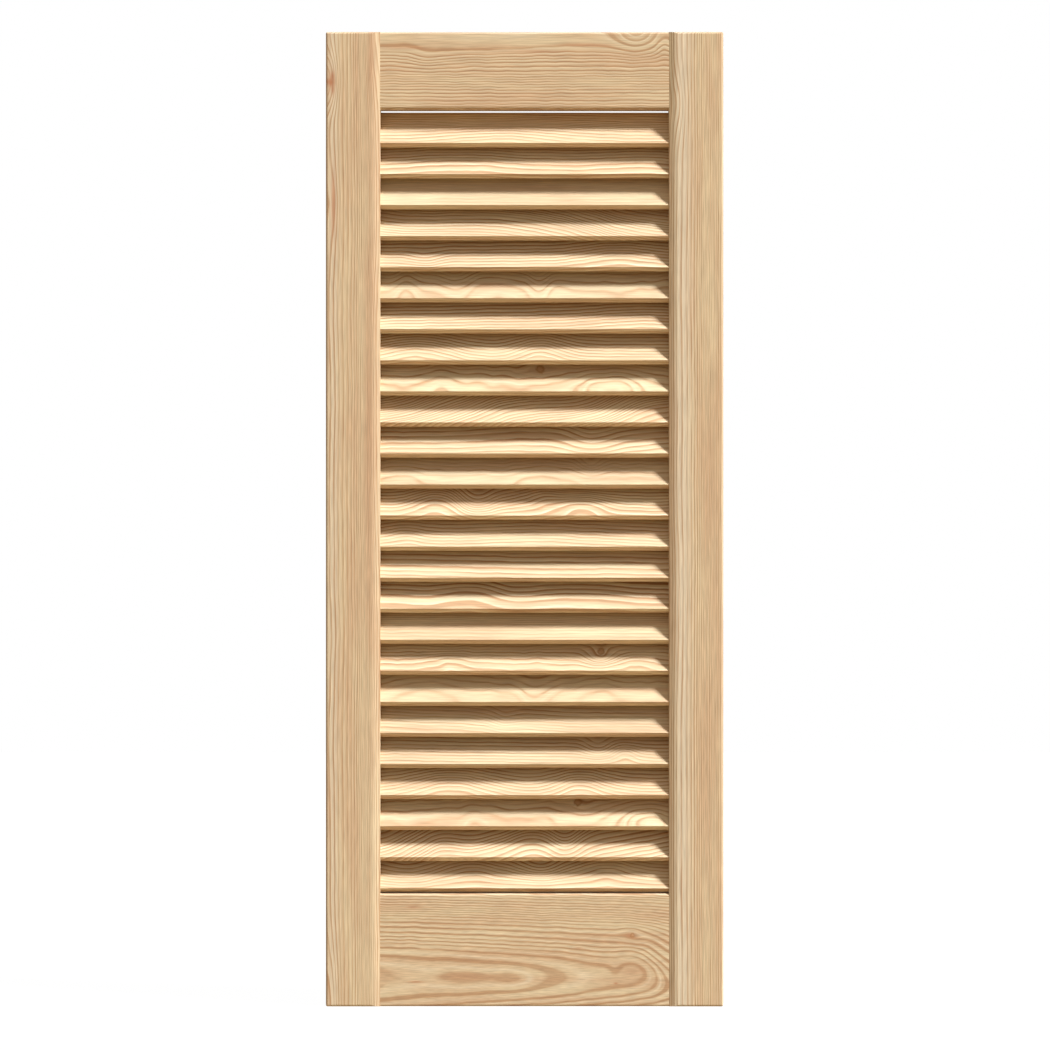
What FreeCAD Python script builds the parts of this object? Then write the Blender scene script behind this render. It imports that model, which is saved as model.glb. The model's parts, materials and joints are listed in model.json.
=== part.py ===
import FreeCAD, Part
import math
import os
from FreeCAD import Placement, Rotation, Vector

os.makedirs("parts", exist_ok=True)

# All sizes are millimetres and degrees. X runs across the leaf, Y from its front to its back and Z up.
# The origin is on the pivot axis, at the leaf's bottom edge.

# Leaf
leaf_width = 405.0
leaf_height = 993.0
leaf_thickness = 35.0
outer_round = 2.2
pivot_inset = 19.0

# Stiles, with a shallow moulding along the inner edge of both faces: a slight shoulder, then a slope
stile_width = 55.4
moulding_shoulder_width = 3.0
moulding_shoulder_fall = 10.0
moulding_shoulder_round = 3.0
moulding_slope_width = 5.6
moulding_slope_fall = 20.0
moulding_slope_round = 5.0
stile_inner_round = 0.9

# Rails, whose faces lie level with the foot of the moulding
top_rail_width = 78.6
bottom_rail_width = 114.9
rail_inner_round = 2.8

# Slats, fixed in slanting slots with the front edge low and the back edge high
slat_count = 25
slat_thickness = 7.4
slat_tilt = 54.6
slat_round = 0.5
slat_setback = 2.8
slat_gap_top = 1.5
slat_gap_bottom = 1.1
slot_depth = 8.5
slot_clearance = 0.1
slat_end_gap = 0.5

# Dowels between the rails and the stiles
dowel_radius = 5.0
dowel_reach = 25.0
dowel_end_gap = 1.0
dowel_chamfer = 1.0
dowel_clearance = 0.05
dowel_edge_distance = 20.0
top_dowel_count = 2
bottom_dowel_count = 3

# Pivot bushes, flush in both ends of the left stile
bush_bore_radius = 4.0
bush_bore_depth = 25.0
bush_wall = 2.0
bush_floor = 3.0
bush_flange_radius = 9.0
bush_flange_thickness = 2.0
bush_clearance = 0.05

# Fold hinges on the back of the right stile
hinge_length = 63.0
hinge_end_distance = 140.0
hinge_axis_inset = 2.5
flap_width = 25.0
flap_thickness = 1.8
flap_corner_round = 3.0
knuckle_count = 5
knuckle_wall = 1.6
knuckle_gap = 0.3
knuckle_standoff = 0.3
pin_radius = 1.75
pin_running_clearance = 0.05
pin_fixed_clearance = 0.02
pin_button_radius = 2.6
pin_button_height = 0.8

# Screws of the fixed flaps, and the holes of the free flaps, which are staggered from them
screw_radius = 1.75
screw_length = 16.0
screw_head_radius = 3.0
screw_point_length = 3.5
screw_tip_radius = 0.4
screw_slot_width = 0.8
screw_slot_depth = 0.6
screw_clearance = 0.05
screw_hole_radius = 2.0
screw_spacing = 40.0
screw_from_axis = 16.0
free_hole_from_axis = 11.0

# How far a cutting shape runs past the faces that it opens
overcut = 1.0

# Places that follow from the sizes
left_edge = -pivot_inset
right_edge = left_edge + leaf_width
half_thickness = leaf_thickness / 2
opening_left = left_edge + stile_width
opening_right = right_edge - stile_width
opening_bottom = bottom_rail_width
opening_top = leaf_height - top_rail_width
shoulder_depth = moulding_shoulder_width * math.tan(math.radians(moulding_shoulder_fall))
rail_setback = shoulder_depth + moulding_slope_width * math.tan(math.radians(moulding_slope_fall))
tilt = math.radians(slat_tilt)
slat_depth = leaf_thickness - 2 * slat_setback
slat_width = (slat_depth - slat_thickness * math.sin(tilt)) / math.cos(tilt)
slat_rise = slat_width * math.sin(tilt) + slat_thickness * math.cos(tilt)
slat_run = opening_top - opening_bottom - slat_gap_top - slat_gap_bottom - slat_rise
slat_pitch = slat_run / (slat_count - 1)
highest_slat = opening_top - slat_gap_top - slat_rise / 2
knuckle_radius = pin_radius + pin_running_clearance + knuckle_wall
hinge_axis_x = right_edge - hinge_axis_inset
hinge_axis_y = half_thickness + knuckle_standoff + knuckle_radius
flap_far_edge = hinge_axis_x - flap_width
screw_x = hinge_axis_x - screw_from_axis
free_hole_x = hinge_axis_x - free_hole_from_axis
hinge_heights = {
    "top": leaf_height - hinge_end_distance,
    "middle": leaf_height / 2,
    "bottom": hinge_end_distance,
}


# Shapes used more than once


def rounded_outline(corners):
    """Closed outline through (across, up, round) corners, each rounded by its own arc."""
    points = [Vector(across, up, 0) for across, up, size in corners]
    arcs = []
    for number, corner in enumerate(points):
        to_last = (points[number - 1] - corner).normalize()
        to_next = (points[(number + 1) % len(points)] - corner).normalize()
        half_angle = to_last.getAngle(to_next) / 2
        size = corners[number][2]
        run = size / math.tan(half_angle)
        inward = (to_last + to_next).normalize()
        middle = corner + inward * (size / math.sin(half_angle) - size)
        arcs.append((corner + to_last * run, middle, corner + to_next * run))
    edges = []
    for number, (start, middle, end) in enumerate(arcs):
        if corners[number][2] > 0:
            edges.append(Part.Arc(start, middle, end).toShape())
        edges.append(Part.makeLine(end, arcs[(number + 1) % len(arcs)][0]))
    return Part.Wire(edges)


def box_corners(low_across, high_across, low_up, high_up, size):
    """Four corners of a rectangle, all with one round."""
    return [
        (low_across, low_up, size),
        (high_across, low_up, size),
        (high_across, high_up, size),
        (low_across, high_up, size),
    ]


def bar_along_x(corners, low, high):
    """Bar along X whose section is drawn in Y and Z."""
    bar = Part.Face(rounded_outline(corners)).extrude(Vector(0, 0, high - low))
    bar.Placement = Placement(Vector(low, 0, 0), Rotation(Vector(1, 1, 1), 120))
    return bar


def bar_along_y(corners, low, high):
    """Bar along Y whose section is drawn in X and Z."""
    bar = Part.Face(rounded_outline(corners)).extrude(Vector(0, 0, high - low))
    bar.Placement = Placement(Vector(0, high, 0), Rotation(Vector(1, 0, 0), 90))
    return bar


def bar_along_z(corners, low, high):
    """Bar along Z whose section is drawn in X and Y."""
    bar = Part.Face(rounded_outline(corners)).extrude(Vector(0, 0, high - low))
    bar.translate(Vector(0, 0, low))
    return bar


def box(low_x, high_x, low_y, high_y, low_z, high_z):
    return Part.makeBox(high_x - low_x, high_y - low_y, high_z - low_z, Vector(low_x, low_y, low_z))


def rod(radius, start, end):
    """Round rod from one point to another."""
    return Part.makeCylinder(radius, (end - start).Length, start, end - start)


def evenly(low, high, count):
    """Places spread evenly from low to high."""
    return [low + (high - low) * number / (count - 1) for number in range(count)]


def save(shape, node):
    shape.removeSplitter().exportStep("parts/" + node + ".step")


# Stiles, before their slots and holes


def stile(outer_edge, inward):
    """Full-height stile; inward is 1 when the opening lies at higher X and -1 when it lies at lower X."""
    slope_start = stile_width - moulding_slope_width
    shoulder_start = slope_start - moulding_shoulder_width
    front_half = [
        (0, -half_thickness, outer_round),
        (shoulder_start, -half_thickness, moulding_shoulder_round),
        (slope_start, -half_thickness + shoulder_depth, moulding_slope_round),
        (stile_width, -half_thickness + rail_setback, stile_inner_round),
    ]
    back_half = [(across, -depth, size) for across, depth, size in reversed(front_half)]
    corners = [(outer_edge + inward * across, depth, size) for across, depth, size in front_half + back_half]
    blank = bar_along_z(corners, 0, leaf_height)
    face_outline = box_corners(left_edge, right_edge, 0, leaf_height, outer_round)
    side_outline = box_corners(-half_thickness, half_thickness, 0, leaf_height, outer_round)
    blank = blank.common(bar_along_y(face_outline, -half_thickness - overcut, half_thickness + overcut))
    return blank.common(bar_along_x(side_outline, left_edge - overcut, right_edge + overcut))


left_stile = stile(left_edge, 1)
right_stile = stile(right_edge, -1)


# Rails, with their ends shaped to the stiles' inner edges


def rail(low, high, low_round, high_round):
    face = half_thickness - rail_setback
    corners = [
        (-face, low, low_round),
        (face, low, low_round),
        (face, high, high_round),
        (-face, high, high_round),
    ]
    blank = bar_along_x(corners, opening_left - stile_inner_round, opening_right + stile_inner_round)
    return blank.cut([left_stile, right_stile])


top_rail = rail(opening_top, leaf_height, rail_inner_round, outer_round)
bottom_rail = rail(0, opening_bottom, outer_round, rail_inner_round)


# Slats and their slots


def slat_bar(low, high, height, extra):
    """Slat-shaped bar, grown by extra on every long face."""
    across = slat_width / 2 + extra
    through = slat_thickness / 2 + extra
    bar = bar_along_x(box_corners(-across, across, -through, through, slat_round + extra), low, high)
    bar.rotate(Vector(0, 0, 0), Vector(1, 0, 0), slat_tilt)
    bar.translate(Vector(0, 0, height))
    return bar


slat_heights = [highest_slat - number * slat_pitch for number in range(slat_count)]
slat_left = opening_left - slot_depth + slat_end_gap
slat_right = opening_right + slot_depth - slat_end_gap
for number, height in enumerate(slat_heights):
    save(slat_bar(slat_left, slat_right, height, 0), "slat_%02d" % (number + 1))

left_slot = (opening_left - slot_depth, opening_left + overcut)
right_slot = (opening_right - overcut, opening_right + slot_depth)
left_stile = left_stile.cut([slat_bar(*left_slot, height, slot_clearance) for height in slat_heights])
right_stile = right_stile.cut([slat_bar(*right_slot, height, slot_clearance) for height in slat_heights])


# Dowels and their holes


def dowel(joint_x, height):
    start = Vector(joint_x - dowel_reach, 0, height)
    end = Vector(joint_x + dowel_reach, 0, height)
    pin = rod(dowel_radius, start, end)
    rims = [edge for edge in pin.Edges if edge.Closed]
    return pin.makeChamfer(dowel_chamfer, rims)


def dowel_hole(joint_x, height):
    reach = Vector(dowel_reach + dowel_end_gap, 0, 0)
    joint = Vector(joint_x, 0, height)
    return rod(dowel_radius + dowel_clearance, joint - reach, joint + reach)


def dowel_heights(rail_low, rail_high, count):
    return evenly(rail_low + dowel_edge_distance, rail_high - dowel_edge_distance, count)


top_dowel_heights = dowel_heights(opening_top, leaf_height, top_dowel_count)
bottom_dowel_heights = dowel_heights(0, opening_bottom, bottom_dowel_count)
joints = (opening_left, opening_right)
top_holes = [dowel_hole(x, z) for x in joints for z in top_dowel_heights]
bottom_holes = [dowel_hole(x, z) for x in joints for z in bottom_dowel_heights]
top_rail = top_rail.cut(top_holes)
bottom_rail = bottom_rail.cut(bottom_holes)
left_stile = left_stile.cut(top_holes + bottom_holes)
right_stile = right_stile.cut(top_holes + bottom_holes)
top_dowels = [dowel(x, z) for x in joints for z in top_dowel_heights]
bottom_dowels = [dowel(x, z) for x in joints for z in bottom_dowel_heights]
Part.makeCompound(top_dowels).exportStep("parts/top_rail_dowels.step")
Part.makeCompound(bottom_dowels).exportStep("parts/bottom_rail_dowels.step")
save(top_rail, "top_rail")
save(bottom_rail, "bottom_rail")


# Pivot bushes and their seats


def bush_body(height, inward, extra, bore):
    """Flanged bush with its mouth at the given height; inward is 1 when it goes up into the stile."""
    mouth = Vector(0, 0, height)
    into = Vector(0, 0, inward)
    sleeve_radius = bush_bore_radius + bush_wall + extra
    sleeve_length = bush_bore_depth + bush_floor + extra
    body = rod(sleeve_radius, mouth, mouth + into * sleeve_length)
    body = body.fuse(rod(bush_flange_radius + extra, mouth, mouth + into * bush_flange_thickness))
    if bore:
        body = body.cut(rod(bush_bore_radius, mouth, mouth + into * bush_bore_depth))
    return body


for node, height, inward in (("top_pivot_bush", leaf_height, -1), ("bottom_pivot_bush", 0, 1)):
    save(bush_body(height, inward, 0, True), node)
    left_stile = left_stile.cut(bush_body(height, inward, bush_clearance, False))
save(left_stile, "left_stile")


# Fold hinges


def knuckle_zones(middle, fixed):
    """Lowest and highest Z of the knuckles that belong to one flap, from the bottom up."""
    low = middle - hinge_length / 2
    pitch = hinge_length / knuckle_count
    first = 0 if fixed else 1
    return [(low + n * pitch, low + (n + 1) * pitch) for n in range(first, knuckle_count, 2)]


def flap(middle, low_y, fixed):
    """Plate with its own knuckles, notched where the other flap's knuckles run."""
    low = middle - hinge_length / 2
    high = middle + hinge_length / 2
    high_y = low_y + flap_thickness
    corners = [
        (flap_far_edge, low, flap_corner_round),
        (hinge_axis_x, low, 0),
        (hinge_axis_x, high, 0),
        (flap_far_edge, high, flap_corner_round),
    ]
    plate = bar_along_y(corners, low_y, high_y)
    notch_edge = hinge_axis_x - knuckle_radius - knuckle_gap
    for zone_low, zone_high in knuckle_zones(middle, not fixed):
        room_low = zone_low - knuckle_gap / 2
        room_high = zone_high + knuckle_gap / 2
        notch_end = hinge_axis_x + overcut
        plate = plate.cut(box(notch_edge, notch_end, low_y - overcut, high_y + overcut, room_low, room_high))
    for zone_low, zone_high in knuckle_zones(middle, fixed):
        start = Vector(hinge_axis_x, hinge_axis_y, zone_low + knuckle_gap / 2)
        end = Vector(hinge_axis_x, hinge_axis_y, zone_high - knuckle_gap / 2)
        plate = plate.fuse(rod(knuckle_radius, start, end))
    clearance = pin_fixed_clearance if fixed else pin_running_clearance
    reach = Vector(0, 0, hinge_length)
    axis_point = Vector(hinge_axis_x, hinge_axis_y, middle)
    return plate.cut(rod(pin_radius + clearance, axis_point - reach, axis_point + reach))


def screw_heights(middle):
    return (middle - screw_spacing / 2, middle + screw_spacing / 2)


def flap_hole(hole_x, seat_y, outward, height):
    """Hole through a flap from its seat, opening to a countersink on the far face."""
    seat = Vector(hole_x, seat_y, height)
    out = Vector(0, outward, 0)
    sink = screw_head_radius + screw_clearance - screw_hole_radius
    hole = rod(screw_hole_radius, seat - out * overcut, seat + out * (flap_thickness + overcut))
    cone_start = seat + out * (flap_thickness - sink)
    cone = Part.makeCone(screw_hole_radius, screw_hole_radius + sink, sink, cone_start, out)
    return hole.fuse(cone)


def screw(height):
    """Countersunk screw, its head level with the fixed flap."""
    head_y = half_thickness + flap_thickness
    head = Vector(screw_x, head_y, height)
    inward = Vector(0, -1, 0)
    head_height = screw_head_radius - screw_radius
    shank_end = head + inward * (screw_length - screw_point_length)
    body = Part.makeCone(screw_head_radius, screw_radius, head_height, head, inward)
    body = body.fuse(rod(screw_radius, head + inward * head_height, shank_end))
    body = body.fuse(Part.makeCone(screw_radius, screw_tip_radius, screw_point_length, shank_end, inward))
    slot = box(
        screw_x - screw_head_radius,
        screw_x + screw_head_radius,
        head_y - screw_slot_depth,
        head_y + overcut,
        height - screw_slot_width / 2,
        height + screw_slot_width / 2,
    )
    return body.cut(slot).removeSplitter()


def hinge_pin(middle):
    """Pin with a button at each end, outside the end knuckles."""
    low = Vector(hinge_axis_x, hinge_axis_y, middle - hinge_length / 2)
    high = Vector(hinge_axis_x, hinge_axis_y, middle + hinge_length / 2)
    button = Vector(0, 0, pin_button_height)
    pin = rod(pin_radius, low, high)
    pin = pin.fuse(rod(pin_button_radius, low - button, low))
    return pin.fuse(rod(pin_button_radius, high, high + button))


free_flap_seat = hinge_axis_y + knuckle_radius
for place, middle in hinge_heights.items():
    fixed_flap = flap(middle, half_thickness, True)
    free_flap = flap(middle, free_flap_seat - flap_thickness, False)
    screws = []
    for height in screw_heights(middle):
        fixed_flap = fixed_flap.cut(flap_hole(screw_x, half_thickness, 1, height))
        free_flap = free_flap.cut(flap_hole(free_hole_x, free_flap_seat, -1, height))
        pilot_start = Vector(screw_x, half_thickness + overcut, height)
        pilot_end = Vector(screw_x, half_thickness + flap_thickness - screw_length - screw_clearance, height)
        right_stile = right_stile.cut(rod(screw_radius + screw_clearance, pilot_start, pilot_end))
        screws.append(screw(height))
    save(fixed_flap, "hinge_fixed_flap_" + place)
    save(free_flap, "hinge_free_flap_" + place)
    save(hinge_pin(middle), "hinge_pin_" + place)
    Part.makeCompound(screws).exportStep("parts/hinge_screws_" + place + ".step")
save(right_stile, "right_stile")

print("slat pitch", round(slat_pitch, 3), "slat width", round(slat_width, 3))
print("hinge axis", round(hinge_axis_x, 3), round(hinge_axis_y, 3))
print("free flap seat", round(free_flap_seat, 3), "hole", round(free_hole_x, 3))
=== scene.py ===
# %% [markdown]
# # A louvred pine leaf of a bifold closet door
#
# The leaf is plain joinery: two stiles, two rails and twenty-five slats of bare planed pine, with plastic
# pivot bushes in its ends and steel fold hinges on its back. The CAD model holds each piece at its real size
# and with its real rounds, so no shape is made a second time here. What the CAD model can't hold is the wood,
# and that is this lesson: every board gets the grain of its own place in its own log.

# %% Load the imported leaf
import json
import math

import bpy
from mathutils import Euler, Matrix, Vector


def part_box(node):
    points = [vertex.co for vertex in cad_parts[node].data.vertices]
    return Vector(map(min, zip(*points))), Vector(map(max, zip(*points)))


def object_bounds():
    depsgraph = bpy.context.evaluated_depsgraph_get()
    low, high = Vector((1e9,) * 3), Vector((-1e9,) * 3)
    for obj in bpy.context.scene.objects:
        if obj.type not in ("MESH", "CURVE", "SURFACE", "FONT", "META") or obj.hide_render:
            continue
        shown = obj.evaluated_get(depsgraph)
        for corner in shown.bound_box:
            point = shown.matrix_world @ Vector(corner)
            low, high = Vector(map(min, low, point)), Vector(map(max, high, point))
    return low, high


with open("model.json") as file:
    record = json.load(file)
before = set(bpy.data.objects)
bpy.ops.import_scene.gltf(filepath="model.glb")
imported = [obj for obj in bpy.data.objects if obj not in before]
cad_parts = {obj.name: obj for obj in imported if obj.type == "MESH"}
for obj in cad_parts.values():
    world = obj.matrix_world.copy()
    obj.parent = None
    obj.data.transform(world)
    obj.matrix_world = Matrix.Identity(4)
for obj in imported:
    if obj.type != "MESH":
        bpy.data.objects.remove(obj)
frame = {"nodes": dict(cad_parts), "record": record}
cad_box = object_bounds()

MM = 0.001
nodes = frame["nodes"]
print(len(nodes), "pieces, leaf box", [[round(c / MM, 1) for c in corner] for corner in cad_box])

# %% [markdown]
# ## Two helpers
#
# Colours are picked as they look on a screen, in sRGB hex, but the renderer adds light in linear numbers, so
# one function converts them. The other adds a node, sets it up and fills its inputs, in order or by name,
# with plain values or with links from nodes made before. That keeps a long node tree as readable as a recipe.


# %% Colour and node helpers
def linear(hex_colour):
    channels = [int(hex_colour[i : i + 2], 16) / 255 for i in (1, 3, 5)]
    return [c / 12.92 if c <= 0.04045 else ((c + 0.055) / 1.055) ** 2.4 for c in channels] + [1.0]


def add(tree, kind, inputs, **settings):
    node = tree.nodes.new("ShaderNode" + kind)
    for setting, value in settings.items():
        setattr(node, setting, value)
    in_use = [socket for socket in node.inputs if socket.enabled]
    for place, value in inputs.items() if isinstance(inputs, dict) else enumerate(inputs):
        socket = node.inputs[place] if isinstance(place, str) else in_use[place]
        if isinstance(value, bpy.types.Node):
            value = next(output for output in value.outputs if output.enabled)
        if isinstance(value, bpy.types.NodeSocket):
            tree.links.new(value, socket)
        else:
            socket.default_value = value
    return node


print("middle grey on a screen gives", round(linear("#808080")[0], 3), "of the light of white")

# %% [markdown]
# ## How a board gets its grain
#
# A tree grows a pale ring of early wood each spring and a dark one of late wood each summer. A board shows
# where its faces cut those rings. An image of wood could be laid on the faces, but its lines wouldn't meet at
# the edges. So the pattern is a solid of rings round the log's pith, and the board is placed in it. A pith
# far to the side gives straight lines, and one close behind the face gives arches and ovals.
#
# The board's own coordinates are millimetres from its middle: along the grain, across the face and deep. One
# Mapping node turns the object's coordinates into these, and a second one places the pith.

# %% Colours of planed pine and the way each board lies
# Cream early wood and its warmer clouds, sapwood, the pale start of a year, late wood, resin, knots.
EARLY = "#D9C5A1"
EARLY_WARM = "#D0B28F"
PALE = "#DBCEB6"
SPRING = "#E6D6B8"
LATE = "#B1865F"
RESIN = "#B9805C"
KNOT = "#C0966E"
KNOT_RIM = "#A8784C"

SLAT_TILT = 54.6
STILE_TURN = (math.radians(90), 0, math.radians(90))
RAIL_TURN = (math.radians(-90), 0, 0)
SLAT_TURN = (math.radians(-SLAT_TILT), 0, 0)
print("pine from", LATE, "to", SPRING)


# %% A spot on a board
def spot(tree, point, along, across, length, width):
    """One at the place, falling off to nothing about it."""
    near = add(
        tree,
        "VectorMath",
        [point, (1 / length, 1 / width, 0), (-along / length, -across / width, 0)],
        operation="MULTIPLY_ADD",
    )
    squared = add(tree, "VectorMath", [near, near], operation="DOT_PRODUCT")
    fall = add(tree, "Math", [squared, -1.0], operation="MULTIPLY")
    return add(tree, "Math", [fall], operation="EXPONENT")


# %% [markdown]
# ## Rings
#
# No log is a true cylinder. Noise makes the rings sway along the log and wiggle a little, the log may lean in
# the board or dip into it, and at a knot the lines part and go round the branch. A swell is a place where the
# rings bulge: its place along and across the board, its length and width, and its height, where a dent has a
# height below nothing. Old trees grow slowly, so a log may also crowd its outer rings: slow gives the radius
# where that begins, the radius where it ends, and the extra growth counted between them.

# %% How the rings sway and part
NOISE_MIDDLE = (0.5, 0.5, 0.5)
WIGGLE_LENGTH = 17
# Across the log the noise changes more slowly than along it, by these shares.
SWAY_FLAT, WIGGLE_FLAT = 0.35, 0.6
# How far the lines move aside at a knot, and the opening's length and width in sizes of the knot.
PARTING = 0.8
PARTING_LENGTH, PARTING_WIDTH = 6, 3.5


def swayed(tree, radial, log, flat, length, shift):
    """Moves the rings by noise that changes slowly along the log."""
    drift = add(tree, "VectorMath", [log, (1, flat, flat)], operation="MULTIPLY")
    drift = {"Vector": drift, "Scale": 1 / length, "Detail": 1.0, "Roughness": 0.4}
    drift = add(tree, "TexNoise", drift)
    drift = add(tree, "VectorMath", [drift.outputs["Color"], NOISE_MIDDLE], operation="SUBTRACT")
    return add(tree, "VectorMath", [drift, shift, radial], operation="MULTIPLY_ADD")


def parted(tree, board, knots):
    """Draws the board's points toward each knot's middle line, so that the rings open round it."""
    for along, across, size in knots:
        near = spot(tree, board, along, across, PARTING_LENGTH * size, PARTING_WIDTH * size)
        aside = [board, (0, -PARTING, 0), (0, PARTING * across, 0)]
        aside = add(tree, "VectorMath", aside, operation="MULTIPLY_ADD")
        board = add(tree, "VectorMath", [aside, near, board], operation="MULTIPLY_ADD")
    return board


# %% The rings of the log, cut by the board
# Each board's seed moves it this far along the noise, so that no two logs are alike.
SEED_STEP = 1000
# Good and bad spells last about five rings, and move a line by up to two.
SPELL_RINGS = 5
SPELL_SHIFT = 2.0


def rings_of(
    tree,
    board,
    seed,
    pith,
    ring,
    sway,
    sway_length,
    wiggle=0.5,
    lean=0.0,
    dip=0.0,
    phase=0.0,
    slow=None,
    swells=(),
    knots=(),
):
    """The log's own coordinates, and the years counted from its pith."""
    board = parted(tree, board, knots)
    angles = (0, math.radians(dip), math.radians(lean))
    log = add(tree, "Mapping", [board, (SEED_STEP * seed, -pith[0], -pith[1]), angles, (1, 1, 1)])
    radial = add(tree, "VectorMath", [log, (0, 1, 1)], operation="MULTIPLY")
    radial = swayed(tree, radial, log, SWAY_FLAT, sway_length, (0, 2 * sway, 2 * sway))
    radial = swayed(tree, radial, log, WIGGLE_FLAT, WIGGLE_LENGTH, (0, 2 * wiggle, 0))
    radius = add(tree, "VectorMath", [radial], operation="LENGTH")
    for along, across, length, width, height in swells:
        swell = spot(tree, board, along, across, length, width)
        radius = add(tree, "Math", [swell, height, radius], operation="MULTIPLY_ADD")
    if slow:
        first, last, extra = slow
        crowd = {"Value": radius, "From Min": first, "From Max": last, "To Max": extra}
        crowd = add(tree, "MapRange", crowd, interpolation_type="SMOOTHSTEP")
        radius = add(tree, "Math", [radius, crowd], operation="ADD")
    spells = {"W": radius, "Scale": 1 / (SPELL_RINGS * ring), "Detail": 0.0}
    spells = add(tree, "TexNoise", spells, noise_dimensions="1D")
    rings = add(tree, "Math", [radius, 1 / ring, phase], operation="MULTIPLY_ADD")
    return log, add(tree, "Math", [spells, SPELL_SHIFT, rings], operation="MULTIPLY_ADD")


# %% [markdown]
# ## Early and late wood
#
# Through a year the wood starts pale, stays cream, darkens in summer and ends at the winter edge. Plain
# stripes could show that, but they would look printed. So some years are weak, lines fade along the log, and
# a list of faint spots weakens them where the real board does. On the slats one more faint spot is painted
# light: it weakens the lines on the sunlit front half. Under the lines lie warm clouds and bands of pale
# sapwood. Each board sets the depth of its lines, the most late wood they may hold, its tone and how soft its
# winter edge is.

# %% The strength of each year's line
WEAK_YEAR = 0.4
FADE_LENGTH, FADE_WIDTH = 55, 6
FADED, UNFADED = 0.45, 1.2


# Noise seldom leaves the middle of its range, so what uses it stretches that middle.
def streaks(tree, log, length, width, detail):
    """Noise drawn out along the log, its length and width in millimetres."""
    drawn = add(tree, "VectorMath", [log, (1 / length, 1 / width, 1 / width)], operation="MULTIPLY")
    return add(tree, "TexNoise", {"Vector": drawn, "Scale": 1.0, "Detail": detail})


def vigour_of(tree, log, rings, depth):
    """How strong the lines are, year by year and along the log."""
    year = add(tree, "Math", [rings], operation="FLOOR")
    vigour = add(tree, "TexWhiteNoise", {"W": year}, noise_dimensions="1D")
    vigour = add(tree, "MapRange", {"Value": vigour, "To Min": WEAK_YEAR * depth, "To Max": depth})
    fade = streaks(tree, log, FADE_LENGTH, FADE_WIDTH, 1.0)
    fade = {"Value": fade, "From Min": 0.3, "From Max": 0.7, "To Min": FADED, "To Max": UNFADED}
    fade = add(tree, "MapRange", fade)
    return add(tree, "Math", [vigour, fade], operation="MULTIPLY")


# %% Late wood
SUMMER_STARTS, SUMMER_FULL = 0.48, 0.86


def late_wood(tree, board, season, vigour, most, edge, faint):
    """Share of late wood: rising in summer, gone at the winter edge."""
    darker = {"Value": season, "From Min": SUMMER_STARTS, "From Max": SUMMER_FULL}
    darker = add(tree, "MapRange", darker, interpolation_type="SMOOTHSTEP")
    end = {"Value": season, "From Min": 1.0, "From Max": 1 - edge}
    end = add(tree, "MapRange", end, interpolation_type="SMOOTHSTEP")
    late = add(tree, "Math", [darker, end], operation="MULTIPLY")
    late = add(tree, "Math", [late, vigour], operation="MULTIPLY")
    late = add(tree, "Math", [late, most], operation="MINIMUM")
    for along, across, length, width, share in faint:
        weak = spot(tree, board, along, across, length, width)
        weak = add(tree, "MapRange", {"Value": weak, "To Min": 1.0, "To Max": 1 - share})
        late = add(tree, "Math", [late, weak], operation="MULTIPLY")
    return late


# %% Early wood
ENDLESS = 1e6
CLOUD_LENGTH, CLOUD_WIDTH = 160, 14
SPRING_ENDS, MOST_SPRING = 0.4, 0.6


def early_wood(tree, board, log, season, vigour, edge, pale):
    """Cream wood with warmer clouds, paler sapwood and a pale start to each year."""
    cloud = streaks(tree, log, CLOUD_LENGTH, CLOUD_WIDTH, 2.0)
    cloud = add(tree, "MapRange", {"Value": cloud, "From Min": 0.35, "From Max": 0.65})
    wood = add(tree, "Mix", [cloud, linear(EARLY), linear(EARLY_WARM)], data_type="RGBA")
    for across, width, share in pale:
        band = spot(tree, board, 0, across, ENDLESS, width)
        band = add(tree, "Math", [band, share], operation="MULTIPLY")
        wood = add(tree, "Mix", [band, wood, linear(PALE)], data_type="RGBA")
    spring = {"Value": season, "From Min": SPRING_ENDS, "From Max": 0.0, "To Max": MOST_SPRING}
    spring = add(tree, "MapRange", spring, interpolation_type="SMOOTHSTEP")
    start = {"Value": season, "From Max": edge}
    start = add(tree, "MapRange", start, interpolation_type="SMOOTHSTEP")
    spring = add(tree, "Math", [spring, start], operation="MULTIPLY")
    spring = add(tree, "Math", [spring, vigour], operation="MULTIPLY")
    return add(tree, "Mix", [spring, wood, linear(SPRING)], data_type="RGBA")


# %% [markdown]
# ## Resin, knots and fibres
#
# Resin leaves reddish streaks beside a branch. A knot is the branch cut across, with a dark rim, a paler
# heart and a ragged edge. Small spots of colour, placed one by one, are enough for both. Over everything
# lie the fibres. Real ones are finer than a tenth of a millimetre and wouldn't show, so they are drawn
# here as streaks that are 0.8 mm wide.

# %% Resin and knots
RAGGED_SIZE = 3
RAGGED_REACH = (4, 4, 0)
KNOT_ACROSS = 1.1
# Limits between nothing outside the knot and one at its middle.
RIM_FROM, RIM_FULL, RIM_COVER = 0.15, 0.5, 0.8
HEART_FROM, HEART_FULL = 0.5, 0.9


def with_resin(tree, wood, board, resin):
    """Reddish streaks, each as dark as its share."""
    for along, across, length, width, share in resin:
        streak = spot(tree, board, along, across, length, width)
        streak = add(tree, "Math", [streak, share], operation="MULTIPLY")
        wood = add(tree, "Mix", [streak, wood, linear(RESIN)], data_type="RGBA")
    return wood


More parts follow.
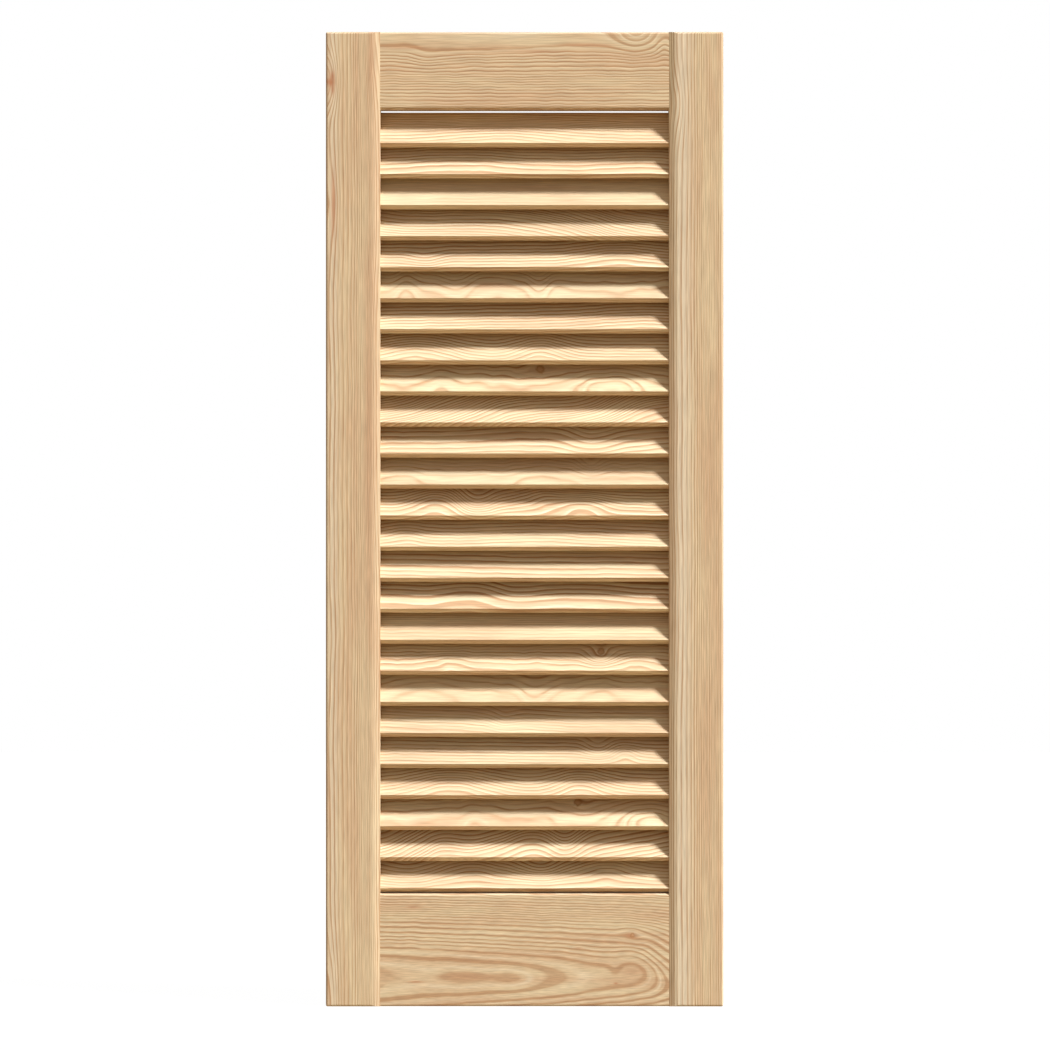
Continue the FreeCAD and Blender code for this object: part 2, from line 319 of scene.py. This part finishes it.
def with_knots(tree, wood, board, knots):
    """Branches cut across, each with a dark rim, a paler heart and a ragged edge."""
    if not knots:
        return wood
    ragged = add(tree, "TexNoise", {"Vector": board, "Scale": 1 / RAGGED_SIZE, "Detail": 2.0})
    ragged = add(tree, "VectorMath", [ragged.outputs["Color"], NOISE_MIDDLE], operation="SUBTRACT")
    rough_board = add(tree, "VectorMath", [ragged, RAGGED_REACH, board], operation="MULTIPLY_ADD")
    for along, across, size in knots:
        core = spot(tree, rough_board, along, across, size, KNOT_ACROSS * size)
        heart = add(tree, "MapRange", {"Value": core, "From Min": HEART_FROM, "From Max": HEART_FULL})
        branch = add(tree, "Mix", [heart, linear(KNOT_RIM), linear(KNOT)], data_type="RGBA")
        inside = {"Value": core, "From Min": RIM_FROM, "From Max": RIM_FULL, "To Max": RIM_COVER}
        inside = add(tree, "MapRange", inside)
        wood = add(tree, "Mix", [inside, wood, branch], data_type="RGBA")
    return wood


# %% A board of planed pine
FIBRE_LENGTH, FIBRE_WIDTH = 24, 0.8
FIBRE_DARK, FIBRE_LIGHT = 0.83, 1.14
EARLY_ROUGHNESS, LATE_ROUGHNESS = 0.7, 0.58
LATE_RAISED = 0.5
RELIEF_STRENGTH = 0.25
PLANED_RELIEF = 0.15 * MM


def pine(
    name,
    node,
    turn,
    depth=1.0,
    most=0.8,
    tone=0.98,
    edge=0.05,
    faint=(),
    pale=(),
    resin=(),
    knots=(),
    **figure,
):
    """Bare planed pine: cream wood with browner lines that stand a little proud, and hardly any gloss."""
    material = bpy.data.materials.new(name)
    material.use_nodes = True
    tree = material.node_tree
    tree.nodes.clear()

    low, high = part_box(node)
    middle = Euler(turn).to_matrix() @ ((low + high) / 2)
    place = add(tree, "TexCoord", []).outputs["Object"]
    board = add(tree, "Mapping", [place, -middle / MM, turn, (1 / MM, 1 / MM, 1 / MM)])
    log, rings = rings_of(tree, board, knots=knots, **figure)
    season = add(tree, "Math", [rings], operation="FRACT")
    vigour = vigour_of(tree, log, rings, depth)
    late = late_wood(tree, board, season, vigour, most, edge, faint)
    wood = early_wood(tree, board, log, season, vigour, edge, pale)
    wood = add(tree, "Mix", [late, wood, linear(LATE)], data_type="RGBA")
    wood = with_resin(tree, wood, board, resin)

    fibre = streaks(tree, log, FIBRE_LENGTH, FIBRE_WIDTH, 1.0)
    dark, light = FIBRE_DARK * tone, FIBRE_LIGHT * tone
    shade = {"Value": fibre, "From Min": 0.25, "From Max": 0.75, "To Min": dark, "To Max": light}
    shade = add(tree, "MapRange", shade)
    wood = add(tree, "Mix", [1.0, wood, shade], data_type="RGBA", blend_type="MULTIPLY")
    wood = with_knots(tree, wood, board, knots)

    gloss = add(tree, "MapRange", {"Value": late, "To Min": EARLY_ROUGHNESS, "To Max": LATE_ROUGHNESS})
    relief = add(tree, "Math", [late, LATE_RAISED, fibre], operation="MULTIPLY_ADD")
    relief = add(tree, "Bump", {"Height": relief, "Strength": RELIEF_STRENGTH, "Distance": PLANED_RELIEF})
    surface = {"Base Color": wood, "Roughness": gloss, "Normal": relief, "IOR": 1.5}
    shader = add(tree, "BsdfPrincipled", surface)
    add(tree, "OutputMaterial", {"Surface": shader})
    nodes[node].data.materials[0] = material
    return material


# %% [markdown]
# ## Stiles and rails
#
# The two stiles are sawn near the quarter, so their lines run straight up, closer together where the rings
# stand square to the face. The rails lie flat to their rings near one edge, and there the lines open into
# long ovals. Each board's numbers are read off the real leaf: which edge has the open figure, how
# close the lines are, where they bulge, and where resin shows. Places and sizes are millimetres on the board.

# %% Grain of the left stile
pine(
    "planed_pine_left_stile",
    "left_stile",
    STILE_TURN,
    seed=1,
    pith=(-42, 44),
    ring=1.8,
    sway=1.2,
    sway_length=130,
    wiggle=0.35,
    slow=(76, 92, 8),
    swells=[
        (446, -27, 26, 10, -7.0),
        (322, -20, 34, 6, -1.5),
        (500, 20, 60, 14, 4.0),
        (130, 20, 110, 12, 2.0),
        (-500, -24, 60, 10, -3.0),
    ],
    pale=[(-20, 5, 0.6)],
    # The first five are the arms of a reddish star, where a small branch was cut beside its heart.
    resin=[
        (445, -22.3, 4.2, 3.2, 1.0),
        (451, -20.9, 5.5, 1.8, 0.9),
        (438, -20.6, 5.0, 1.4, 0.8),
        (446, -25.5, 2.4, 3.2, 0.6),
        (446, -22, 14, 6, 0.35),
        (322, -20, 34, 2.2, 0.8),
        (130, 16, 140, 5, 0.35),
        (470, 19, 40, 4, 0.35),
    ],
    depth=1.2,
)

# %% Grain of the right stile
pine(
    "planed_pine_right_stile",
    "right_stile",
    STILE_TURN,
    seed=2,
    pith=(-42, 46),
    ring=1.8,
    sway=1.0,
    sway_length=150,
    wiggle=0.3,
    slow=(76, 92, 8),
    swells=[(424, -18, 32, 9, -3.0), (-90, -20, 90, 10, -1.0)],
    pale=[(-14, 9, 0.8)],
    depth=1.3,
    tone=0.99,
)
print("two stiles have their own logs")

# %% Grain of the top rail
pine(
    "planed_pine_top_rail",
    "top_rail",
    RAIL_TURN,
    seed=3,
    pith=(37, -11),
    ring=2.7,
    sway=1.3,
    sway_length=60,
    wiggle=1.2,
    phase=0.5,
    swells=[
        (-98, 10, 20, 14, -3.5),
        (-55, 20, 45, 10, -1.5),
        (114, 46, 22, 26, -8.0),
        (142, 26, 10, 16, 4.0),
    ],
    faint=[(114, 41, 34, 10, 0.85), (10, 28, 40, 5, 0.5)],
    resin=[(64, 26, 26, 1.8, 0.5), (12, 20, 26, 1.6, 0.4), (-125, 23, 26, 1.6, 0.4)],
    depth=2.0,
    edge=0.12,
)

# %% Grain of the bottom rail
pine(
    "planed_pine_bottom_rail",
    "bottom_rail",
    RAIL_TURN,
    seed=4,
    pith=(-28, -18),
    ring=3.6,
    sway=1.5,
    sway_length=70,
    wiggle=1.0,
    dip=-3.5,
    phase=0.05,
    slow=(66, 96, 14),
    swells=[
        (-150, -29, 28, 20, 3.0),
        (-112, -29, 40, 20, 4.6),
        (-50, -29, 55, 15, -1.25),
        (-8, -29, 25, 15, -2.4),
        (93, -20, 8, 10, 1.8),
        (114, -20, 24, 14, -2.8),
        (114, 2, 16, 13, -2.2),
        (160, -5, 30, 35, 10.0),
    ],
    faint=[(0, -28, 220, 14, 0.35), (70, 30, 120, 35, 0.15), (-150, -30, 26, 10, 0.7)],
    resin=[
        (-58, -27, 36, 5, 0.35),
        (110, -22, 15, 5.5, 0.4),
        (-111, -32.5, 8, 1.0, 0.8),
        (-113, 44, 8, 2.0, 0.5),
        (55, 2, 5, 0.8, 0.6),
        (93, -34, 2, 1.0, 0.8),
        (109, 15, 6.5, 2.8, 0.65),
    ],
    knots=[(110, 15, 2.2)],
    depth=2.7,
    edge=0.25,
)
print("two rails have their own logs")

# %% [markdown]
# ## Slats
#
# Twenty-five slats from a mixed bundle. Most are sawn so that their lines run along them, fine or bold, and a
# few lie flat to the rings. What tells them apart is how the lines bend: a dent in the rings lifts the lines
# in a dome, a swell pushes them down in a trough, and the log may lean. Each slat below, from the top down,
# starts from one of four figures and adds its own bends, read off the real leaf. Three have a knot.
# Along the front half, where the sun falls, the lines look weaker than in the shadow and are drawn so.

# %% Four figures
# Painted light: this spot fades the late wood on each slat's sunlit front half, and the figures' deeper lines
# make it bolder in the shaded back half.
# A faint spot without ends: its place along and across, its length and width, and the share it takes.
SUNLIT_HALF_PAINTED_FAINT = (0, -19, ENDLESS, 12, 0.38)
FINE = dict(
    pith=(-60, -40),
    ring=2.6,
    sway=1.6,
    sway_length=60,
    wiggle=0.9,
    depth=1.96,
    most=1.0,
    tone=1.06,
    faint=[SUNLIT_HALF_PAINTED_FAINT],
)
BOLD = dict(FINE, ring=4.6, depth=2.24)
WAVY = dict(FINE, ring=3.0, depth=2.1)
FLAT = dict(
    FINE,
    pith=(-24, -46),
    ring=3.2,
    sway=4.0,
    sway_length=38,
    wiggle=2.0,
    depth=1.12,
    edge=0.2,
)
print("four figures, a line every", [figure["ring"] for figure in (FINE, BOLD, WAVY, FLAT)], "mm")

# %% The upper slats, from the top down
UPPER_SLATS = [
    dict(FINE, lean=0.8, swells=[(-20, -10, 70, 20, -7.0)]),
    dict(BOLD, ring=3.8, lean=0.4, swells=[(-60, 0, 70, 40, -6.0), (120, 0, 50, 40, -4.0)]),
    dict(FINE, depth=0.42, tone=1.02),
    dict(WAVY, lean=3.0, tone=1.02, swells=[(150, 0, 110, 100, 34.0), (-110, 5, 60, 30, 8.0)]),
    dict(
        BOLD,
        ring=3.4,
        depth=2.94,
        lean=-0.8,
        tone=1.02,
        swells=[(-102, -10, 18, 14, 5.0), (95, 0, 45, 30, -7.0)],
    ),
    dict(
        FLAT,
        tone=1.0,
        swells=[(-122, 0, 12, 60, -4.0), (-70, 0, 14, 60, 4.0), (-30, 0, 20, 60, -3.0), (15, 0, 12, 60, 4.0)],
    ),
    dict(BOLD, ring=3.2, depth=2.94, lean=-1.0, swells=[(120, 0, 60, 30, -5.0)]),
    dict(WAVY, swells=[(16, 0, 30, 28, -11.0), (-112, 0, 50, 32, -13.0)]),
    dict(
        FLAT,
        phase=0.35,
        depth=1.54,
        swells=[(-86, 0, 24, 60, -4.5), (-20, 0, 16, 60, -2.0), (88, -12, 40, 30, -11.0)],
        knots=[(16, 8.0, 4.2)],
    ),
    dict(
        WAVY,
        pith=(-110, -50),
        lean=-17.0,
        tone=1.1,
        swells=[(-125, 5, 35, 25, 6.0), (-25, 5, 40, 25, -6.0), (60, 5, 30, 25, 6.0), (125, 5, 30, 25, -6.0)],
    ),
    dict(
        BOLD,
        depth=1.54,
        swells=[(16, 8, 60, 25, -6.0), (68, 0, 26, 25, 9.0), (150, 0, 40, 30, -5.5)],
    ),
    dict(
        FLAT,
        ring=2.8,
        sway=2.0,
        tone=1.0,
        swells=[(67, 6, 12, 12, 6.0), (-130, 0, 35, 60, -4.0), (20, 0, 40, 60, -3.0)],
    ),
]
print(len(UPPER_SLATS), "upper slats")

# %% The lower slats, down to the bottom rail
LOWER_SLATS = [
    dict(
        WAVY,
        ring=3.6,
        depth=2.38,
        tone=1.1,
        swells=[
            (-88, 0, 28, 28, -12.0),
            (-50, 2, 20, 24, 12.0),
            (20, 8, 24, 18, -8.0),
            (58, -8, 28, 18, -11.0),
        ],
    ),
    dict(FINE, ring=3.2, depth=1.82, lean=0.8, swells=[(-120, 0, 20, 20, -4.0), (20, 0, 60, 30, -4.0)]),
    dict(BOLD, depth=1.75, lean=0.8),
    dict(
        BOLD,
        ring=6.0,
        depth=2.66,
        sway=2.4,
        lean=2.4,
        swells=[(-52, 0, 30, 25, -5.5), (-8, 0, 24, 25, 3.0), (70, 0, 40, 25, -2.5)],
    ),
    dict(FINE, lean=0.3, depth=0.84),
    dict(
        WAVY,
        ring=4.0,
        sway=2.4,
        depth=1.68,
        wiggle=2.4,
        swells=[(-78, -10, 24, 14, -6.5), (78, 0, 16, 14, 8.0), (112, -10, 20, 12, -5.0)],
        knots=[(78, 3.6, 3.8)],
    ),
    dict(
        FLAT,
        ring=4.4,
        depth=1.68,
        edge=0.4,
        swells=[(-100, 0, 30, 60, -5.0), (10, 0, 20, 60, 5.0), (75, 0, 20, 60, -5.0)],
    ),
    dict(
        FINE,
        ring=3.4,
        depth=1.12,
        lean=3.0,
        tone=1.02,
        swells=[(40, 0, 60, 30, 5.0), (-20, 0, 14, 20, 5.0)],
    ),
    dict(
        FINE,
        ring=3.2,
        depth=1.68,
        lean=1.0,
        tone=1.0,
        swells=[(75, 2, 14, 14, 9.0), (103, -6, 14, 12, -6.0)],
    ),
    dict(WAVY, swells=[(57, 0, 30, 28, -11.0), (-75, 0, 50, 32, -13.0)]),
    dict(
        FLAT,
        phase=0.35,
        depth=1.26,
        swells=[(-46, 0, 24, 60, -4.5), (20, 0, 16, 60, -2.0), (128, -12, 40, 30, -11.0)],
        knots=[(54.5, 8.5, 3.8)],
    ),
    dict(
        WAVY,
        pith=(-110, -50),
        ring=4.2,
        depth=2.52,
        lean=-12.0,
        swells=[(-145, 0, 25, 40, 10.0), (-85, 0, 22, 40, -9.0), (5, 0, 26, 40, -9.0), (42, 0, 18, 40, 12.0)],
    ),
    dict(
        WAVY,
        ring=3.6,
        depth=1.82,
        swells=[
            (-120, 5, 30, 25, 8.0),
            (-55, 8, 30, 20, -7.0),
            (16, 10, 22, 18, 12.0),
            (85, 8, 30, 20, -9.0),
        ],
    ),
]
print(len(LOWER_SLATS), "lower slats")

# %% A log for each slat
# The first four seeds belong to the stiles and rails.
SEEDS_OF_SLATS = 10
for number, figure in enumerate(UPPER_SLATS + LOWER_SLATS, 1):
    node = f"slat_{number:02d}"
    pine(f"planed_pine_{node}", node, SLAT_TURN, seed=SEEDS_OF_SLATS + number, **figure)
print(number, "slats have their own logs")

# %% [markdown]
# ## Hardware
#
# The hinges are pressed from zinc plated steel, the pins and screws turned and plated bright, the pivot
# bushes moulded in nylon and the dowels turned from beech. A plain colour would look like paint on all of
# them. Each is a surface with soft clouds of a second colour, so one function makes all four, with clouds of
# the size that the real finish has.


# %% A finish with soft clouds
def finish(
    name,
    slot,
    colour,
    cloud_colour,
    cloud_mm,
    roughness,
    relief_mm,
    metallic=0.0,
    stretch=(1, 1, 1),
    ior=1.5,
):
    """A clouded material on every node that has the slot."""
    material = bpy.data.materials.new(name)
    material.use_nodes = True
    tree = material.node_tree
    tree.nodes.clear()
    place = add(tree, "TexCoord", []).outputs["Object"]
    scale = [share / (cloud_mm * MM) for share in stretch]
    place = add(tree, "Mapping", {"Vector": place, "Scale": scale})
    cloud = add(tree, "TexNoise", {"Vector": place, "Scale": 1.0, "Detail": 4.0, "Roughness": 0.6})
    mixed = add(tree, "Mix", [cloud, linear(colour), linear(cloud_colour)], data_type="RGBA")
    gloss = add(tree, "MapRange", {"Value": cloud, "To Min": roughness[0], "To Max": roughness[1]})
    relief = add(tree, "Bump", {"Height": cloud, "Strength": 0.3, "Distance": relief_mm * MM})
    surface = {"Base Color": mixed, "Roughness": gloss, "Normal": relief, "Metallic": metallic, "IOR": ior}
    shader = add(tree, "BsdfPrincipled", surface)
    add(tree, "OutputMaterial", {"Surface": shader})
    for subpart in frame["record"]["subparts"]:
        if subpart["material_slot"] == slot:
            nodes[subpart["node"]].data.materials[0] = material
    return material


# %% Zinc plated steel, nylon and beech
# Plating on pressed sheet: a soft grey shine, faintly cloudy.
finish(
    "zinc_plated_steel",
    "hinge_steel",
    "#B9BBBE",
    "#CFD0D1",
    cloud_mm=6.0,
    roughness=(0.3, 0.45),
    relief_mm=0.05,
    metallic=1.0,
)
# Plating on turned steel: brighter, with tighter highlights.
finish(
    "bright_zinc_steel",
    "pin_and_screw_steel",
    "#C6C8CB",
    "#DADBDC",
    cloud_mm=2.0,
    roughness=(0.2, 0.35),
    relief_mm=0.02,
    metallic=1.0,
)
# Nylon from the mould: a milky off-white with a dull sheen.
finish(
    "moulded_nylon",
    "bush_plastic",
    "#E8E4D8",
    "#DDD8CA",
    cloud_mm=1.5,
    roughness=(0.4, 0.55),
    relief_mm=0.03,
    ior=1.53,
)
# Turned beech: pinkish brown, with streaks along the dowel.
finish(
    "turned_beech",
    "dowel_wood",
    "#D9B48C",
    "#BE9268",
    cloud_mm=1.2,
    roughness=(0.5, 0.65),
    relief_mm=0.03,
    stretch=(0.1, 1, 1),
)
print("hardware finished")

# %% [markdown]
# ## Floor and light
#
# The leaf stands in white. A sun lamp from high on the right is wide enough to soften the shadow that each
# slat throws on the next, and a weaker, level one lights the back and only what it hits. Area lamps would
# fall off along the tall leaf, and the real light doesn't. The sky stands for the room: a soft fill from the
# front, warm below the level as light is that has bounced off wood, and white from straight below onto the
# slats' front edges. Metal shows what it mirrors, so rays that glance off a surface also see a bright room
# low behind the leaf. The floor glows white, so the leaf's shadow on it stays faint. It doesn't light the
# leaf, and it lets the light from below through.

# %% Floor
FLOOR_SIZE = 12
FLOOR_GLOW = 0.98
bpy.ops.object.select_all(action="DESELECT")
bpy.ops.mesh.primitive_plane_add(size=FLOOR_SIZE)
floor = bpy.context.object
floor.name = "floor"
# Paper on a light table: white by its own glow and dark to the lamps, so a shadow takes little away.
paper = bpy.data.materials.new("white_paper")
paper.use_nodes = True
sheet = paper.node_tree.nodes["Principled BSDF"]
sheet.inputs["Base Color"].default_value = linear("#282828")
sheet.inputs["Roughness"].default_value = 0.9
sheet.inputs["Emission Color"].default_value = (1, 1, 1, 1)
sheet.inputs["Emission Strength"].default_value = FLOOR_GLOW
floor.data.materials.append(paper)
floor.visible_diffuse = False
floor.visible_glossy = False
floor.visible_shadow = False
print("floor of", FLOOR_SIZE, "m")

# %% Lamps
KEY_FROM = Vector((0.597, -0.330, 0.731))
KEY_STRENGTH, KEY_WIDTH = 5.85, 12
BACK_FROM = Vector((0.35, 0.9, 0.0))
BACK_STRENGTH, BACK_WIDTH = 2.2, 20


def sun(name, toward, strength, width):
    """A sun lamp that stands in the given direction, its width in degrees."""
    lamp = bpy.data.lights.new(name, "SUN")
    lamp.energy = strength
    lamp.angle = math.radians(width)
    holder = bpy.data.objects.new(name, lamp)
    holder.rotation_euler = toward.to_track_quat("Z", "Y").to_euler()
    bpy.context.scene.collection.objects.link(holder)
    return holder


sun("key", KEY_FROM, KEY_STRENGTH, KEY_WIDTH)
back = sun("back", BACK_FROM, BACK_STRENGTH, BACK_WIDTH)
back.visible_glossy = False
back.data.cycles.max_bounces = 0
print("two lamps, the key", KEY_WIDTH, "degrees wide")

# %% Sky
FRONT = (0, -1, 0)
FILL = 0.50
FILL_BELOW = 0.75
FILL_BEHIND = 0.9
FILL_COLOUR = (1.0, 0.94, 0.87, 1.0)
WARM_BELOW = (1.0, 0.56, 0.04, 1.0)
WHITE = (1, 1, 1, 1)
# Heights in the sky go from 1 straight up, past 0 at the level, to -1 straight down.
ROOM_FROM, ROOM_FULL = 0.3, -0.1
WARM_FULL, WARM_NONE = -0.4, 0.15
BELOW_FROM, BELOW_FULL = -0.7, -0.9

world = bpy.data.worlds.new("white")
bpy.context.scene.world = world
world.use_nodes = True
sky = world.node_tree
sky.nodes.clear()
ray = add(sky, "LightPath", []).outputs
toward = add(sky, "TexCoord", []).outputs["Generated"]
height = add(sky, "SeparateXYZ", [toward]).outputs["Z"]
behind = {"Value": height, "From Min": ROOM_FROM, "From Max": ROOM_FULL, "To Max": FILL_BEHIND}
behind = add(sky, "MapRange", behind)
behind = add(sky, "Math", [behind, ray["Is Glossy Ray"]], operation="MULTIPLY")
facing = add(sky, "VectorMath", [toward, FRONT], operation="DOT_PRODUCT").outputs["Value"]
facing = add(sky, "MapRange", {"Value": facing, "From Min": -1.0, "To Min": behind, "To Max": FILL})
level = add(sky, "MapRange", {"Value": height, "From Min": WARM_FULL, "From Max": WARM_NONE})
level = add(sky, "Math", [level, ray["Is Glossy Ray"]], operation="MAXIMUM")
tint = add(sky, "Mix", [level, WARM_BELOW, FILL_COLOUR], data_type="RGBA")
around = add(sky, "Background", {"Color": tint, "Strength": facing})
below = {"Value": height, "From Min": BELOW_FROM, "From Max": BELOW_FULL, "To Max": FILL_BELOW}
below = add(sky, "MapRange", below)
below = add(sky, "Background", {"Color": WHITE, "Strength": below})
fill = add(sky, "AddShader", [around, below])
white = add(sky, "Background", {"Color": WHITE, "Strength": 1.0})
seen = add(sky, "MixShader", [ray["Is Camera Ray"], fill, white])
add(sky, "OutputWorld", {"Surface": seen})
bpy.context.scene.view_settings.view_transform = "Standard"
print("sky of", len(sky.nodes), "nodes")

# %% [markdown]
# ## Camera
#
# The leaf is seen square on through a long lens, from 5.4 m away and about half its height. An orthographic
# camera would be simpler, but an eye at that place sees a little of the rails' edges, and parallel rays
# wouldn't show them.

# %% Camera
# Width of the view at the leaf's front.
FRAME_WIDTH = 1069.6 * MM
CAMERA_DISTANCE = 5.4
CAMERA_X, CAMERA_Z = 183.9 * MM, 490.6 * MM
SENSOR = 36.0
front = cad_box[0][1]
camera = bpy.data.cameras.new("camera")
camera.sensor_width = SENSOR
camera.lens = SENSOR * CAMERA_DISTANCE / FRAME_WIDTH
eye = bpy.data.objects.new("camera", camera)
eye.location = (CAMERA_X, front - CAMERA_DISTANCE, CAMERA_Z)
eye.rotation_euler = (math.radians(90), 0, 0)
bpy.context.scene.collection.objects.link(eye)
bpy.context.scene.camera = eye
print("lens", round(camera.lens, 1), "mm")
